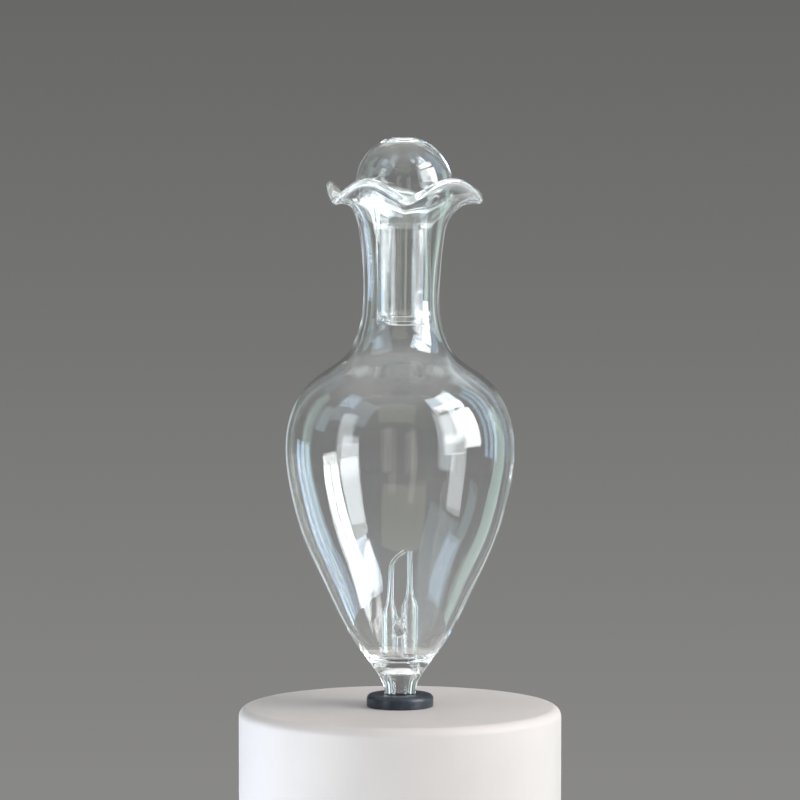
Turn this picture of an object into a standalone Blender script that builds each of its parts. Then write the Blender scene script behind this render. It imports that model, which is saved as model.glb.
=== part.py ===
"""Blown-glass nebuliser head: a pear-shaped oil reservoir with a ruffled neck, a silencer that lifts out of
the neck, and a two-tube nebuliser, on a hollow stem in a rubber gasket.

Metres, +Z up along the stem, the front towards -Y. The origin is on the stem's axis, level with the
underside of the gasket's flange, which rests on whatever the head stands on. Pieces that are fused on the
real object are separate solids here, a seam's width apart."""

import math

import bmesh
import bpy
from mathutils import Matrix, Vector

SEAM = 0.0003  # between pieces that are fused or touch
MERGE_DISTANCE = 1e-7

# Stem, and the gasket that grips it
STEM_RADIUS = 0.0048
STEM_BORE = 0.0033
STEM_FOOT_Z = -0.018
STEM_HOLLOW_RADIUS = 0.0060  # the bore widens to this under the glass floor
STEM_FLARE_Z = 0.004
GASKET_RADIUS = 0.0105
GASKET_HEIGHT = 0.004
GASKET_EDGE = 0.0016  # radius of its rounded top edge
GASKET_CHAMFER = 0.0004
SLEEVE_RADIUS = 0.007
SLEEVE_DEPTH = 0.009

# Outer outline of the reservoir, stem to neck, as (height, radius)
OUTLINE = (
    (0.0040, 0.0048),
    (0.0065, 0.0052),
    (0.0120, 0.0082),
    (0.0210, 0.0146),
    (0.0360, 0.0224),
    (0.0520, 0.0298),
    (0.0670, 0.0342),
    (0.0825, 0.0359),
    (0.0930, 0.0339),
    (0.1000, 0.0299),
    (0.1050, 0.0243),
    (0.1090, 0.0185),
    (0.1135, 0.0151),
    (0.1200, 0.0128),
    (0.1330, 0.0120),
    (0.1430, 0.0127),
    (0.1490, 0.0135),
)
FLOOR_Z = 0.0126  # underside of the glass floor
NECK_Z = 0.117  # where the neck is sealed on the bulb
FLARE_Z = 0.149
LEAN_Z = 0.095  # above here the hand-blown neck leans towards +X
LEAN = 0.014

# Wall thickness, as (height, thickness)
WALL = ((0.0126, 0.0016), (0.0240, 0.0011), (0.1000, 0.0011), (0.1200, 0.0013))

# Ruffled rim. Azimuths run from the front, -Y, towards +X
# Each lobe as (azimuth of the trough that it starts from, share of a full crest that it reaches)
RIM_LOBES = ((-60, 1.0), (3, 1.0), (82, 0.55), (161, 0.55), (240, 0.8))
TROUGH_ROUNDING = 0.12  # share of a lobe's rise that its trough is rounded by
RIM_BEAD = 0.0013  # half the rim's thickness
CREST = {"radius": 0.0223, "height": 0.1644, "exit": 22, "rise": 0.0085, "curl": 0.0045}
TROUGH = {"radius": 0.0237, "height": 0.1587, "exit": -14, "rise": 0.0050, "curl": 0.0060}

# Glass floor
FLOOR_TOP_Z = 0.0154
FLOOR_FLAT_RADIUS = 0.0052
FLOOR_EDGE_Z = 0.0172

# Nebuliser tubes, side by side in the XZ plane
TUBE_RADIUS = 0.00255
TUBE_WALL = 0.0009
JET_RADIUS = 0.00077
JET_BORE = 0.0003
AIR_X = 0.00295
AIR_SHOULDER_Z = 0.0305
AIR_HALF_DRAWN = 0.0035  # rise above the shoulder over which the tube narrows half way to its tip
AIR_TIP_Z = 0.0492
OIL_FOOT_Z = 0.0166
OIL_HALF_DRAWN = 0.0039
OIL_SHOULDER_Z = 0.0275
OIL_PATH = (
    (-0.00315, OIL_FOOT_Z),
    (-0.00315, OIL_SHOULDER_Z),
    (-0.00295, 0.0340),
    (-0.00278, 0.0400),
    (-0.00268, 0.0430),
    (-0.00225, 0.0451),
    (-0.00120, 0.0467),
    (0.00015, 0.0480),
    (0.00150, 0.0489),
)
OIL_X = OIL_PATH[0][0]
BEAD_CENTRE = Vector((-0.0003, 0, 0.0249))
BEAD_RADII = (0.0019, 0.0030, 0.0034)

# Silencer, a globe on a tube
SILENCER_X = 0.0012
GLOBE_Z = 0.1635
GLOBE_RADIUS = 0.01515
GLOBE_WALL = 0.0010
MOUTH_RADIUS = 0.0043
MOUTH_LIP = 0.00075  # half the lip's thickness
GLOBE_FOOT_Z = 0.1512
SILENCER_TUBE_RADIUS = 0.00843
SILENCER_TUBE_WALL = 0.0012
SILENCER_FOOT_Z = 0.1199
FOOT_LIP = 0.00095  # half the thickness of the rounded lip at the foot
FOOT_LIP_RISE = 0.0035

# Facets round each kind of piece, and the angle above which an edge stays sharp
SIDES = {"bulb": 40, "neck": 60, "globe": 32, "tube": 28, "jet": 14, "gasket": 40}
BULB_RINGS = 22
NECK_RINGS = 6
SHARP_ANGLE = math.radians(40)

CLEAR = {"colour": (0.96, 0.98, 0.98), "roughness": 0.02, "ior": 1.47, "transmission": 1}
RUFFLED = {"colour": (0.90, 0.96, 0.93), "roughness": 0.03, "ior": 1.47, "transmission": 1}
RUBBER = {"colour": (0.012, 0.013, 0.016), "roughness": 0.5, "ior": 1.5, "transmission": 0}


def clear_scene():
    for obj in list(bpy.data.objects):
        bpy.data.objects.remove(obj, do_unlink=True)


def mix(a, b, t):
    return a + (b - a) * t


def smooth(t):
    return t * t * (3 - 2 * t)


def table_at(table, z):
    """Straight-line value at height z of a table of (height, value)."""
    for (z0, v0), (z1, v1) in zip(table, table[1:]):
        if z <= z1:
            return mix(v0, v1, max(0.0, (z - z0) / (z1 - z0)))
    return table[-1][1]


def knot_slope(i):
    """Slope of the outline at knot i, from its neighbours."""
    a = OUTLINE[max(i - 1, 0)]
    b = OUTLINE[min(i + 1, len(OUTLINE) - 1)]
    return (b[1] - a[1]) / (b[0] - a[0])


def outline_at(z):
    """(radius, slope) of the reservoir's outer wall at height z, on a smooth curve through OUTLINE."""
    if z <= OUTLINE[0][0]:
        return OUTLINE[0][1], 0.0
    i = max(k for k in range(len(OUTLINE) - 1) if OUTLINE[k][0] <= z)
    (z0, r0), (z1, r1) = OUTLINE[i], OUTLINE[i + 1]
    h = z1 - z0
    t = (z - z0) / h
    m0, m1 = knot_slope(i) * h, knot_slope(i + 1) * h
    radius = mix(r0, r1, smooth(t)) + m0 * t * (1 - t) ** 2 - m1 * t * t * (1 - t)
    slope = (6 * t * (1 - t) * (r1 - r0) + m0 * (1 - t) * (1 - 3 * t) + m1 * t * (3 * t - 2)) / h
    return radius, slope


def inner_radius(z, inset=0.0):
    """Radius of the reservoir's inner wall at height z, less an inset measured square to the wall."""
    radius, slope = outline_at(z)
    return radius - (table_at(WALL, z) + inset) * math.hypot(1, slope)


def lean_x(z):
    return LEAN * max(0.0, z - LEAN_Z)


def outline_heights(low, high, count):
    """Heights from low to high that are evenly spaced along the outline."""
    steps = 400  # fine enough to measure along
    heights = [mix(low, high, k / steps) for k in range(steps + 1)]
    lengths = [0.0]
    for z0, z1 in zip(heights, heights[1:]):
        lengths.append(lengths[-1] + math.hypot(z1 - z0, outline_at(z1)[0] - outline_at(z0)[0]))
    found = []
    for k in range(count):
        wanted = lengths[-1] * k / (count - 1)
        j = min(range(steps + 1), key=lambda i: abs(lengths[i] - wanted))
        found.append(heights[j])
    return found


def rounded_end(centre, out, along, half, steps=4):
    """The points of a half circle that closes a wall, from its outer side round to its inner side."""
    turns = [math.pi * k / steps for k in range(1, steps)]
    return [centre + (out * math.cos(turn) + along * math.sin(turn)) * half for turn in turns]


def around(radius, angle, z, centre_x=0.0):
    """The point at an azimuth in radians, from the front towards +X."""
    return Vector((centre_x + radius * math.sin(angle), -radius * math.cos(angle), z))


def skinned(name, loops, closed=True):
    """A mesh through loops of points set round an axis: closed ones make a ring, open ones end on it."""
    bm = bmesh.new()
    rows = [[bm.verts.new(point) for point in loop] for loop in loops]
    spans = len(rows[0]) - (0 if closed else 1)
    for row, following in zip(rows, rows[1:] + rows[:1]):
        for i in range(spans):
            k = (i + 1) % len(row)
            bm.faces.new((row[i], row[k], following[k], following[i]))
    bmesh.ops.remove_doubles(bm, verts=bm.verts, dist=MERGE_DISTANCE)
    bmesh.ops.recalc_face_normals(bm, faces=bm.faces)
    mesh = bpy.data.meshes.new(name)
    bm.to_mesh(mesh)
    bm.free()
    return mesh


def turned(name, profile, sides, closed=True):
    """A mesh from a profile of (radius, height) turned round Z."""
    angles = [math.tau * j / sides for j in range(sides)]
    return skinned(name, [[around(r, a, z) for r, z in profile] for a in angles], closed)


def rod(name, radius, reach):
    """A cutter's mesh: a solid rod along Z that reaches this far above and below its origin."""
    profile = [(0, -reach), (radius, -reach), (radius, reach), (0, reach)]
    return turned(name, profile, SIDES["tube"], closed=False)


def place(name, mesh, material, parent, location=(0, 0, 0)):
    obj = bpy.data.objects.new(name, mesh)
    bpy.context.scene.collection.objects.link(obj)
    mesh.materials.append(material)
    mesh.shade_smooth()
    mesh.set_sharp_from_angle(angle=SHARP_ANGLE)
    obj.parent = parent
    obj.location = location
    return obj


def cut(obj, name, mesh, location):
    """Takes a hidden cutter's shape out of an object that has the same parent."""
    cutter = bpy.data.objects.new(name, mesh)
    bpy.context.scene.collection.objects.link(cutter)
    cutter.parent = obj.parent
    cutter.location = location
    cutter.hide_render = True
    cutter.display_type = "WIRE"
    modifier = obj.modifiers.new(name, "BOOLEAN")
    modifier.operation = "DIFFERENCE"
    modifier.solver = "EXACT"
    modifier.object = cutter


def empty(name, location, parent=None):
    obj = bpy.data.objects.new(name, None)
    bpy.context.scene.collection.objects.link(obj)
    obj.parent = parent
    obj.location = location
    return obj


def finish(name, colour, roughness, ior, transmission):
    material = bpy.data.materials.new(name)
    material.use_nodes = True
    shader = material.node_tree.nodes["Principled BSDF"]
    shader.inputs["Base Color"].default_value = (*colour, 1)
    shader.inputs["Roughness"].default_value = roughness
    shader.inputs["Metallic"].default_value = 0
    shader.inputs["IOR"].default_value = ior
    shader.inputs["Transmission Weight"].default_value = transmission
    return material


def add_gasket(material):
    """A flanged ring: the flange rests on the base, and the sleeve below it fills the base's socket."""
    bore = STEM_RADIUS + SEAM
    edge_r, edge_z = GASKET_RADIUS - GASKET_EDGE, GASKET_HEIGHT - GASKET_EDGE
    profile = [
        (bore, -SLEEVE_DEPTH),
        (SLEEVE_RADIUS - GASKET_CHAMFER, -SLEEVE_DEPTH),
        (SLEEVE_RADIUS, -SLEEVE_DEPTH + GASKET_CHAMFER),
        (SLEEVE_RADIUS, 0),
        (GASKET_RADIUS - GASKET_CHAMFER, 0),
        (GASKET_RADIUS, GASKET_CHAMFER),
    ]
    steps = 5
    for k in range(steps + 1):
        turn = math.pi / 2 * k / steps
        profile.append((edge_r + GASKET_EDGE * math.cos(turn), edge_z + GASKET_EDGE * math.sin(turn)))
    profile += [(bore + GASKET_CHAMFER, GASKET_HEIGHT), (bore, GASKET_HEIGHT - GASKET_CHAMFER)]
    place("stem_gasket", turned("stem_gasket", profile, SIDES["gasket"]), material, None)


def add_stem(material, head):
    """The hollow stem: straight in the gasket, then flared up to the glass floor."""
    top = FLOOR_Z - SEAM
    steps = 5
    outer = [(STEM_RADIUS, STEM_FOOT_Z)]
    outer += [(outline_at(z)[0], z) for z in outline_heights(STEM_FLARE_Z, top, steps + 1)]
    inner = [(STEM_BORE, STEM_FOOT_Z)]
    for k in range(steps + 1):
        t = k / steps
        inner.append((mix(STEM_BORE, STEM_HOLLOW_RADIUS, smooth(t)), mix(STEM_FLARE_Z, top, t)))
    place("stem_tube", turned("stem_tube", outer + inner[::-1], SIDES["tube"]), material, head)


def add_floor(material, head):
    """The solid glass that closes the bulb over the stem, dished on top, with a hole for the air tube."""
    steps = 3
    edge = [(inner_radius(z, SEAM), z) for z in outline_heights(FLOOR_Z, FLOOR_EDGE_Z, steps + 1)]
    dish = []
    for k in range(steps):
        t = k / steps
        dish.append((mix(FLOOR_FLAT_RADIUS, edge[-1][0], t), mix(FLOOR_TOP_Z, FLOOR_EDGE_Z, t * t)))
    profile = [(0, FLOOR_Z)] + edge + dish[::-1] + [(0, FLOOR_TOP_Z)]
    floor = place("well_floor", turned("well_floor", profile, SIDES["tube"], closed=False), material, head)
    thickness = FLOOR_EDGE_Z - FLOOR_Z
    cut(floor, "floor_hole", rod("floor_hole", TUBE_RADIUS + SEAM, thickness), (AIR_X, 0, FLOOR_Z))


def add_bulb(material, head):
    """The blown pear, from the glass floor's level up to the neck."""
    low, high = FLOOR_Z, NECK_Z - SEAM
    outer = [(outline_at(z)[0], z) for z in outline_heights(low, high, BULB_RINGS)]
    inner = [(inner_radius(z), z) for z in outline_heights(low, high, BULB_RINGS - 2)]
    angles = [math.tau * j / SIDES["bulb"] for j in range(SIDES["bulb"])]
    loops = [[around(r, a, z, lean_x(z)) for r, z in outer + inner[::-1]] for a in angles]
    place("reservoir_bulb", skinned("reservoir_bulb", loops), material, head)


def crest_share(angle):
    """0 in a trough of the ruffled rim, 1 on a full crest, at an azimuth in degrees."""
    starts = [start for start, _ in RIM_LOBES]
    ends = starts[1:] + [starts[0] + 360]
    while angle < starts[0]:
        angle += 360
    while angle >= ends[-1]:
        angle -= 360
    for (start, reach), end in zip(RIM_LOBES, ends):
        if angle < end:
            arch = math.sin(math.pi * (angle - start) / (end - start))
            floor = TROUGH_ROUNDING
            return reach * (math.hypot(arch, floor) - floor) / (math.hypot(1, floor) - floor)
    return 0.0


def flare_profile(share):
    """The flare's outer side, rounded rim and inner side as (radius, height), for one crest share."""
    steps = 8
    lobe = {key: mix(TROUGH[key], CREST[key], share) for key in CREST}
    outer, slope = outline_at(FLARE_Z)
    wall = table_at(WALL, FLARE_Z)
    start = Vector((outer - wall / 2, FLARE_Z))
    rise = Vector((slope, 1)).normalized()
    exit_angle = math.radians(lobe["exit"])
    end = Vector((lobe["radius"], lobe["height"]))
    controls = (
        start,
        start + rise * lobe["rise"],
        end - Vector((math.cos(exit_angle), math.sin(exit_angle))) * lobe["curl"],
        end,
    )
    under, over = [], []
    for k in range(steps + 1):
        t = k / steps
        a, b, c, d = controls
        point = a * (1 - t) ** 3 + b * 3 * t * (1 - t) ** 2 + c * 3 * t * t * (1 - t) + d * t**3
        along = ((b - a) * (1 - t) ** 2 + (c - b) * 2 * t * (1 - t) + (d - c) * t * t).normalized()
        out = Vector((along.y, -along.x))
        half = mix(wall / 2, RIM_BEAD, smooth(t))
        under.append(point + out * half)
        over.append(point - out * half)
    return under + rounded_end(end, out, along, RIM_BEAD) + over[::-1]


def add_neck(material, head):
    """The neck tube with its flared, ruffled rim."""
    heights = outline_heights(NECK_Z, FLARE_Z, NECK_RINGS)[:-1]
    loops = []
    for j in range(SIDES["neck"]):
        degrees = 360 * j / SIDES["neck"]
        profile = [(outline_at(z)[0], z) for z in heights]
        profile += flare_profile(crest_share(degrees))
        profile += [(inner_radius(z), z) for z in heights[::-1]]
        loops.append([around(r, math.radians(degrees), z, lean_x(z)) for r, z in profile])
    place("ruffled_neck", skinned("ruffled_neck", loops), material, head)


def drawn_radius(rise, half_drawn):
    """Radius of a tube drawn out to a fine tip, at a rise above its shoulder."""
    if rise <= 0:
        return TUBE_RADIUS
    return JET_RADIUS + (TUBE_RADIUS - JET_RADIUS) / (1 + (rise / half_drawn) ** 3)


def bore_radius(outer):
    """The bore narrows with the tube, down to the jet's own bore."""
    drawn = (TUBE_RADIUS - outer) / (TUBE_RADIUS - JET_RADIUS)
    return mix(TUBE_RADIUS - TUBE_WALL, JET_BORE, drawn)


def add_air_tube(material, head):
    """The air tube: through the floor, and drawn out to an upright tip."""
    steps = 9
    drawn = [(AIR_TIP_Z - AIR_SHOULDER_Z) * (k / steps) ** 2 for k in range(steps + 1)]
    heights = [FLOOR_Z] + [AIR_SHOULDER_Z + rise for rise in drawn]
    outer = [(drawn_radius(z - AIR_SHOULDER_Z, AIR_HALF_DRAWN), z) for z in heights]
    inner = [(bore_radius(r), z) for r, z in outer]
    mesh = turned("air_jet_tube", outer + inner[::-1], SIDES["jet"])
    place("air_jet_tube", mesh, material, head, (AIR_X, 0, 0))


def curve_through(points, per_span):
    """Points on a smooth curve through the given 2-D points."""
    points = [Vector(point) for point in points]
    padded = [points[0] * 2 - points[1]] + points + [points[-1] * 2 - points[-2]]
    found = []
    for a, b, c, d in zip(padded, padded[1:], padded[2:], padded[3:]):
        rise, bend, twist = c - a, 2 * a - 5 * b + 4 * c - d, 3 * b - a - 3 * c + d
        for k in range(per_span):
            t = k / per_span
            found.append(b + (rise * t + bend * t**2 + twist * t**3) / 2)
    return found + [points[-1]]


def add_oil_tube(material, head):
    """The pick-up tube: open just over the floor, drawn out, and bent across to the air jet's tip."""
    path = curve_through(OIL_PATH, 2)
    outer, inner = [], []
    for k, point in enumerate(path):
        along = (path[min(k + 1, len(path) - 1)] - path[max(k - 1, 0)]).normalized()
        square = Vector((along.y, 0, -along.x))
        radius = drawn_radius(point.y - OIL_SHOULDER_Z, OIL_HALF_DRAWN)
        outer.append((Vector((point.x, 0, point.y)), square, radius))
        inner.append((Vector((point.x, 0, point.y)), square, bore_radius(radius)))
    loops = []
    for j in range(SIDES["jet"]):
        turn = math.tau * j / SIDES["jet"]
        aside = Vector((0, math.sin(turn), 0))
        walls = outer + inner[::-1]
        loops.append([at + (square * math.cos(turn) + aside) * radius for at, square, radius in walls])
    place("oil_tube", skinned("oil_tube", loops), material, head)


def add_bead(material, head):
    """The weld bead in the gap between the two tubes, hollowed on each side where it meets a tube."""
    steps = 10
    turns = [math.pi * k / steps for k in range(1, steps)]
    profile = [(0, 1)] + [(math.sin(turn), math.cos(turn)) for turn in turns] + [(0, -1)]
    mesh = turned("bridge_bead", profile, SIDES["jet"], closed=False)
    mesh.transform(Matrix.Diagonal((*BEAD_RADII, 1)))
    bead = place("bridge_bead", mesh, material, head, BEAD_CENTRE)
    for name, x in (("oil_groove", OIL_X), ("air_groove", AIR_X)):
        cut(bead, name, rod(name, TUBE_RADIUS + SEAM, 2 * BEAD_RADII[2]), (x, 0, BEAD_CENTRE.z))


def polar_point(radius, angle):
    """The (radius, height) of a point on a circle, at an angle from straight up."""
    return Vector((radius * math.sin(angle), radius * math.cos(angle)))


def add_globe(material, silencer):
    """The thin globe: a round lip at its mist opening, and a flat foot where its tube begins."""
    middle = GLOBE_RADIUS - GLOBE_WALL / 2
    foot = GLOBE_FOOT_Z - GLOBE_Z
    start = math.asin(MOUTH_RADIUS / middle)
    steps, lip_steps = 11, 3
    sides = []
    for side in (1, -1):
        end = math.acos(foot / (middle + side * GLOBE_WALL / 2))
        points = []
        for k in range(steps + 1):
            half = mix(MOUTH_LIP, GLOBE_WALL / 2, smooth(min(1, k / lip_steps)))
            points.append(polar_point(middle + side * half, mix(start, end, k / steps)))
        sides.append(points)
    out = polar_point(1, start)
    lip = rounded_end(out * middle, out, Vector((-out.y, out.x)), MOUTH_LIP)
    mesh = turned("silencer_globe", sides[0] + sides[1][::-1] + lip[::-1], SIDES["globe"])
    place("silencer_globe", mesh, material, silencer)


def add_silencer_tube(material, silencer):
    """The straight tube under the globe, with a thick rounded lip at its open foot."""
    top = GLOBE_FOOT_Z - SEAM - GLOBE_Z
    lip_z = SILENCER_FOOT_Z + FOOT_LIP - GLOBE_Z
    outer = [(SILENCER_TUBE_RADIUS, top)]
    inner = [(SILENCER_TUBE_RADIUS - SILENCER_TUBE_WALL, top)]
    steps = 3
    for k in range(steps + 1):
        thickness = mix(SILENCER_TUBE_WALL, 2 * FOOT_LIP, smooth(k / steps))
        z = lip_z + FOOT_LIP_RISE * (1 - k / steps)
        outer.append((SILENCER_TUBE_RADIUS, z))
        inner.append((SILENCER_TUBE_RADIUS - thickness, z))
    lip_centre = Vector((SILENCER_TUBE_RADIUS - FOOT_LIP, lip_z))
    lip = rounded_end(lip_centre, Vector((1, 0)), Vector((0, -1)), FOOT_LIP)
    mesh = turned("silencer_tube", outer + lip + inner[::-1], SIDES["tube"])
    place("silencer_tube", mesh, material, silencer)


def main():
    clear_scene()
    clear = finish("clear_glass", **CLEAR)
    add_gasket(finish("black_rubber", **RUBBER))
    head = empty("glass_head", (0, 0, 0))
    add_stem(clear, head)
    add_floor(clear, head)
    add_bulb(clear, head)
    add_neck(finish("ruffled_glass", **RUFFLED), head)
    add_air_tube(clear, head)
    add_oil_tube(clear, head)
    add_bead(clear, head)
    silencer = empty("silencer_axis", (SILENCER_X, 0, GLOBE_Z), head)
    add_globe(clear, silencer)
    add_silencer_tube(clear, silencer)


main()
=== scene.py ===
"""The looks of the blown-glass nebuliser head.

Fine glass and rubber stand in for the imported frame's solids, on a pale pedestal with a socket for the
gasket and the stem, among soft panels of light. Metres, +Z up, the front towards -Y.
"""

import math

import bmesh
import bpy
import numpy as np
from mathutils import Matrix, Vector


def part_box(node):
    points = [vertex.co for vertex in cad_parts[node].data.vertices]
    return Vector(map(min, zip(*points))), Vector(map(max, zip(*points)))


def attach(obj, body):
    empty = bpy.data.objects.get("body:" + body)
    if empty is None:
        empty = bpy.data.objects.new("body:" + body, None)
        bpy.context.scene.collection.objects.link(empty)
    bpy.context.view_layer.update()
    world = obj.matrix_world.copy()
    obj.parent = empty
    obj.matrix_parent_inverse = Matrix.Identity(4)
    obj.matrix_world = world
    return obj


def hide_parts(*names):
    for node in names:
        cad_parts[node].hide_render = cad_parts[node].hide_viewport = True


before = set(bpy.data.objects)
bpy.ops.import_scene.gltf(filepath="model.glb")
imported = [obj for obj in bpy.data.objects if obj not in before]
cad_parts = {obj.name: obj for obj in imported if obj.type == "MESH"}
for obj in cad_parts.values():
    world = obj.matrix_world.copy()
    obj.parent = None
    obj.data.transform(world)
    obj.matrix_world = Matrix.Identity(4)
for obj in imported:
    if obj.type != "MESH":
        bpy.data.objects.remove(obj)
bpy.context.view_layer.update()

SHARP_ANGLE = math.radians(40)  # an edge between faces that turn by more than this stays sharp

# ---- Places that come from the frame ----
STEM_FOOT_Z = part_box("stem_tube")[0].z
GASKET_LOW, GASKET_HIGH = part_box("stem_gasket")
GLOBE_LOW, GLOBE_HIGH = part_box("silencer_globe")
TUBE_LOW, TUBE_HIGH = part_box("silencer_tube")
AIR_LOW, AIR_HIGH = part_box("air_jet_tube")
BEAD_LOW, BEAD_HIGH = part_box("bridge_bead")
BEAD_CENTRE, BEAD_HALF = (BEAD_LOW + BEAD_HIGH) / 2, (BEAD_HIGH - BEAD_LOW) / 2
SILENCER_X = (GLOBE_LOW.x + GLOBE_HIGH.x) / 2
AIR_X = (AIR_LOW.x + AIR_HIGH.x) / 2
TUBE_RADIUS = (AIR_HIGH.x - AIR_LOW.x) / 2

# ---- Shape of the blown body ----
# Outer outline from the gasket to the flare, as (height, radius)
OUTLINE = (
    (0.0040, 0.0048),
    (0.0065, 0.0052),
    (0.0120, 0.0082),
    (0.0210, 0.0146),
    (0.0360, 0.0224),
    (0.0520, 0.0298),
    (0.0670, 0.0342),
    (0.0825, 0.0359),
    (0.0930, 0.0339),
    (0.1000, 0.0299),
    (0.1050, 0.0243),
    (0.1090, 0.0185),
    (0.1135, 0.0151),
    (0.1200, 0.0128),
    (0.1330, 0.0120),
    (0.1430, 0.0127),
    (0.1490, 0.0135),
)
STEM_RADIUS = OUTLINE[0][1]
FLARE_Z = OUTLINE[-1][0]
LEAN_Z = 0.095  # above here the hand-blown neck leans towards +X
LEAN = 0.014
# Wall thickness, as (height, thickness)
WALL = ((0.0120, 0.0017), (0.0240, 0.0010), (0.0500, 0.0008), (0.1000, 0.0009), (0.1200, 0.0012))

# Ruffled rim. Azimuths run from the front, -Y, towards +X
# Each lobe as (azimuth of the trough that it starts from, share of a full crest that it reaches)
RIM_LOBES = ((-60, 1.0), (3, 1.0), (82, 0.55), (161, 0.55), (240, 0.8))
TROUGH_ROUNDING = 0.12  # share of a lobe's rise that its trough is rounded by
RIM_BEAD = 0.0013  # half the rim's thickness
CREST = {"radius": 0.0223, "height": 0.1644, "exit": 22, "rise": 0.0085, "curl": 0.0045}
TROUGH = {"radius": 0.0237, "height": 0.1587, "exit": -14, "rise": 0.0050, "curl": 0.0060}

# Thick glass at the bottom
STEM_BORE = 0.0033
STEM_RING_Z = -0.009  # a ring of points half way down the stem
POLISH = 0.0004  # radius of the fire-polished edges at the stem's foot
HOLLOW_RADIUS = 0.0049  # of the hollow under the floor, where the stem's bore opens out
HOLLOW_FLARE_Z = 0.0040
HOLLOW_EDGE_Z = 0.0112
HOLLOW_TOP_Z = 0.0117
FLOOR_TOP_Z = 0.0154
FLOOR_FLAT_RADIUS = 0.0064
FLOOR_EDGE_Z = 0.0175

# Hand-blown unevenness, as (turns round the axis, waves per metre of height, phase)
RIPPLES = ((1, 9, 0.4), (2, 14, 2.1), (3, 22, 4.0), (5, 31, 5.2), (7, 6, 1.1))
RIPPLE = 0.00009
BODY_RIPPLE_RADIUS = 0.02  # the unevenness lessens from this radius to the axis

# Rows and columns of the fine mesh
BODY_SIDES = 252
OUTSIDE_ROWS = 138
INSIDE_ROWS = 124
FLARE_STEPS = 26
RIM_STEPS = 14
NECK_CLOSENESS = 2.2  # times as many rows to a length of outline in the neck as in the bulb

# Bubbles are spread out by these steps, so that they fall into no pattern
GOLDEN_SHARE = 0.618
GOLDEN_TURN = 2.4
SIZE_SHARE = 0.37
SEEDS = 16  # tiny bubbles blown into the wall
SEED_HEIGHTS = (0.030, 0.112)
SEED_RADII = (0.00010, 0.00022)
FLOOR_BUBBLE = (Vector((0.0068, 0, 0.0136)), 0.00055)  # the one that shows in the floor, and its radius

CUT_SPARE = 0.001  # how far the cutter of a bore reaches past the glass


def mix(a, b, t):
    return a + (b - a) * t


def smooth(t):
    t = min(1.0, max(0.0, t))
    return t * t * (3 - 2 * t)


def ripple(angle, z, seed=0.0):
    """A gentle unevenness, between about -1 and 1."""
    waves = (math.sin(n * angle + k * math.tau * z + phase * (1 + seed)) for n, k, phase in RIPPLES)
    return sum(waves) / len(RIPPLES) * 2


def spline(knots):
    """A function that gives (value, slope) on the natural cubic spline through (place, value) knots."""
    x = np.array([k[0] for k in knots])
    y = np.array([k[1] for k in knots])
    h = np.diff(x)
    n = len(x)
    matrix, right = np.eye(n), np.zeros(n)
    for i in range(1, n - 1):
        matrix[i, i - 1 : i + 2] = h[i - 1], 2 * (h[i - 1] + h[i]), h[i]
        right[i] = 6 * ((y[i + 1] - y[i]) / h[i] - (y[i] - y[i - 1]) / h[i - 1])
    bend = np.linalg.solve(matrix, right)

    def at(place):
        i = min(max(int(np.searchsorted(x, place)) - 1, 0), n - 2)
        a, b = x[i + 1] - place, place - x[i]
        value = (bend[i] * a**3 + bend[i + 1] * b**3) / (6 * h[i])
        value += (y[i] / h[i] - bend[i] * h[i] / 6) * a + (y[i + 1] / h[i] - bend[i + 1] * h[i] / 6) * b
        slope = (bend[i + 1] * b**2 - bend[i] * a**2) / (2 * h[i])
        slope += (y[i + 1] - y[i]) / h[i] - (bend[i + 1] - bend[i]) * h[i] / 6
        return float(value), float(slope)

    return at


outline_spline = spline(OUTLINE)


def outline_at(z):
    """(radius, slope) of the blown body's outer wall at a height."""
    if z <= OUTLINE[0][0]:
        return STEM_RADIUS, 0.0
    return outline_spline(z)


def table_at(table, z):
    """Straight-line value at height z of a table of (height, value)."""
    for (z0, v0), (z1, v1) in zip(table, table[1:]):
        if z <= z1:
            return mix(v0, v1, max(0.0, (z - z0) / (z1 - z0)))
    return table[-1][1]


def inner_radius(z):
    radius, slope = outline_at(z)
    return radius - table_at(WALL, z) * math.hypot(1, slope)


def lean_x(z):
    return LEAN * max(0.0, z - LEAN_Z)


def even_heights(low, high, count):
    """Heights from low to high, evenly spaced along the outline, and closer together in the neck."""
    samples = 1200  # fine enough to measure along
    z = np.linspace(low, high, samples)
    r = np.array([outline_at(v)[0] for v in z])
    closeness = np.where(z[1:] > LEAN_Z, NECK_CLOSENESS, 1.0)
    length = np.concatenate(([0.0], np.cumsum(np.hypot(np.diff(z), np.diff(r)) * closeness)))
    return [float(v) for v in np.interp(np.linspace(0, length[-1], count), length, z)]


# ---- Mesh tools ----


def around(radius, angle, z, centre_x=0.0):
    """The point at an azimuth in radians, from the front towards +X."""
    return (centre_x + radius * math.sin(angle), -radius * math.cos(angle), z)


def skinned(name, loops, closed=True):
    """A mesh through loops of points set round an axis: closed ones make a ring, open ones end on it."""
    count, length = len(loops), len(loops[0])
    faces = []
    for j in range(count):
        here, there = j * length, (j + 1) % count * length
        for i in range(length if closed else length - 1):
            k = (i + 1) % length
            faces.append((here + i, here + k, there + k, there + i))
    mesh = bpy.data.meshes.new(name)
    mesh.from_pydata([point for loop in loops for point in loop], [], faces)
    bm = bmesh.new()
    bm.from_mesh(mesh)
    bmesh.ops.remove_doubles(bm, verts=bm.verts, dist=1e-7)
    bmesh.ops.recalc_face_normals(bm, faces=bm.faces)
    bm.to_mesh(mesh)
    bm.free()
    return mesh


def turned(name, profile, sides, closed=True, centre_x=0.0):
    """A mesh from a profile of (radius, height) turned round a vertical axis."""
    angles = [math.tau * j / sides for j in range(sides)]
    return skinned(name, [[around(r, a, z, centre_x) for r, z in profile] for a in angles], closed)


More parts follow.
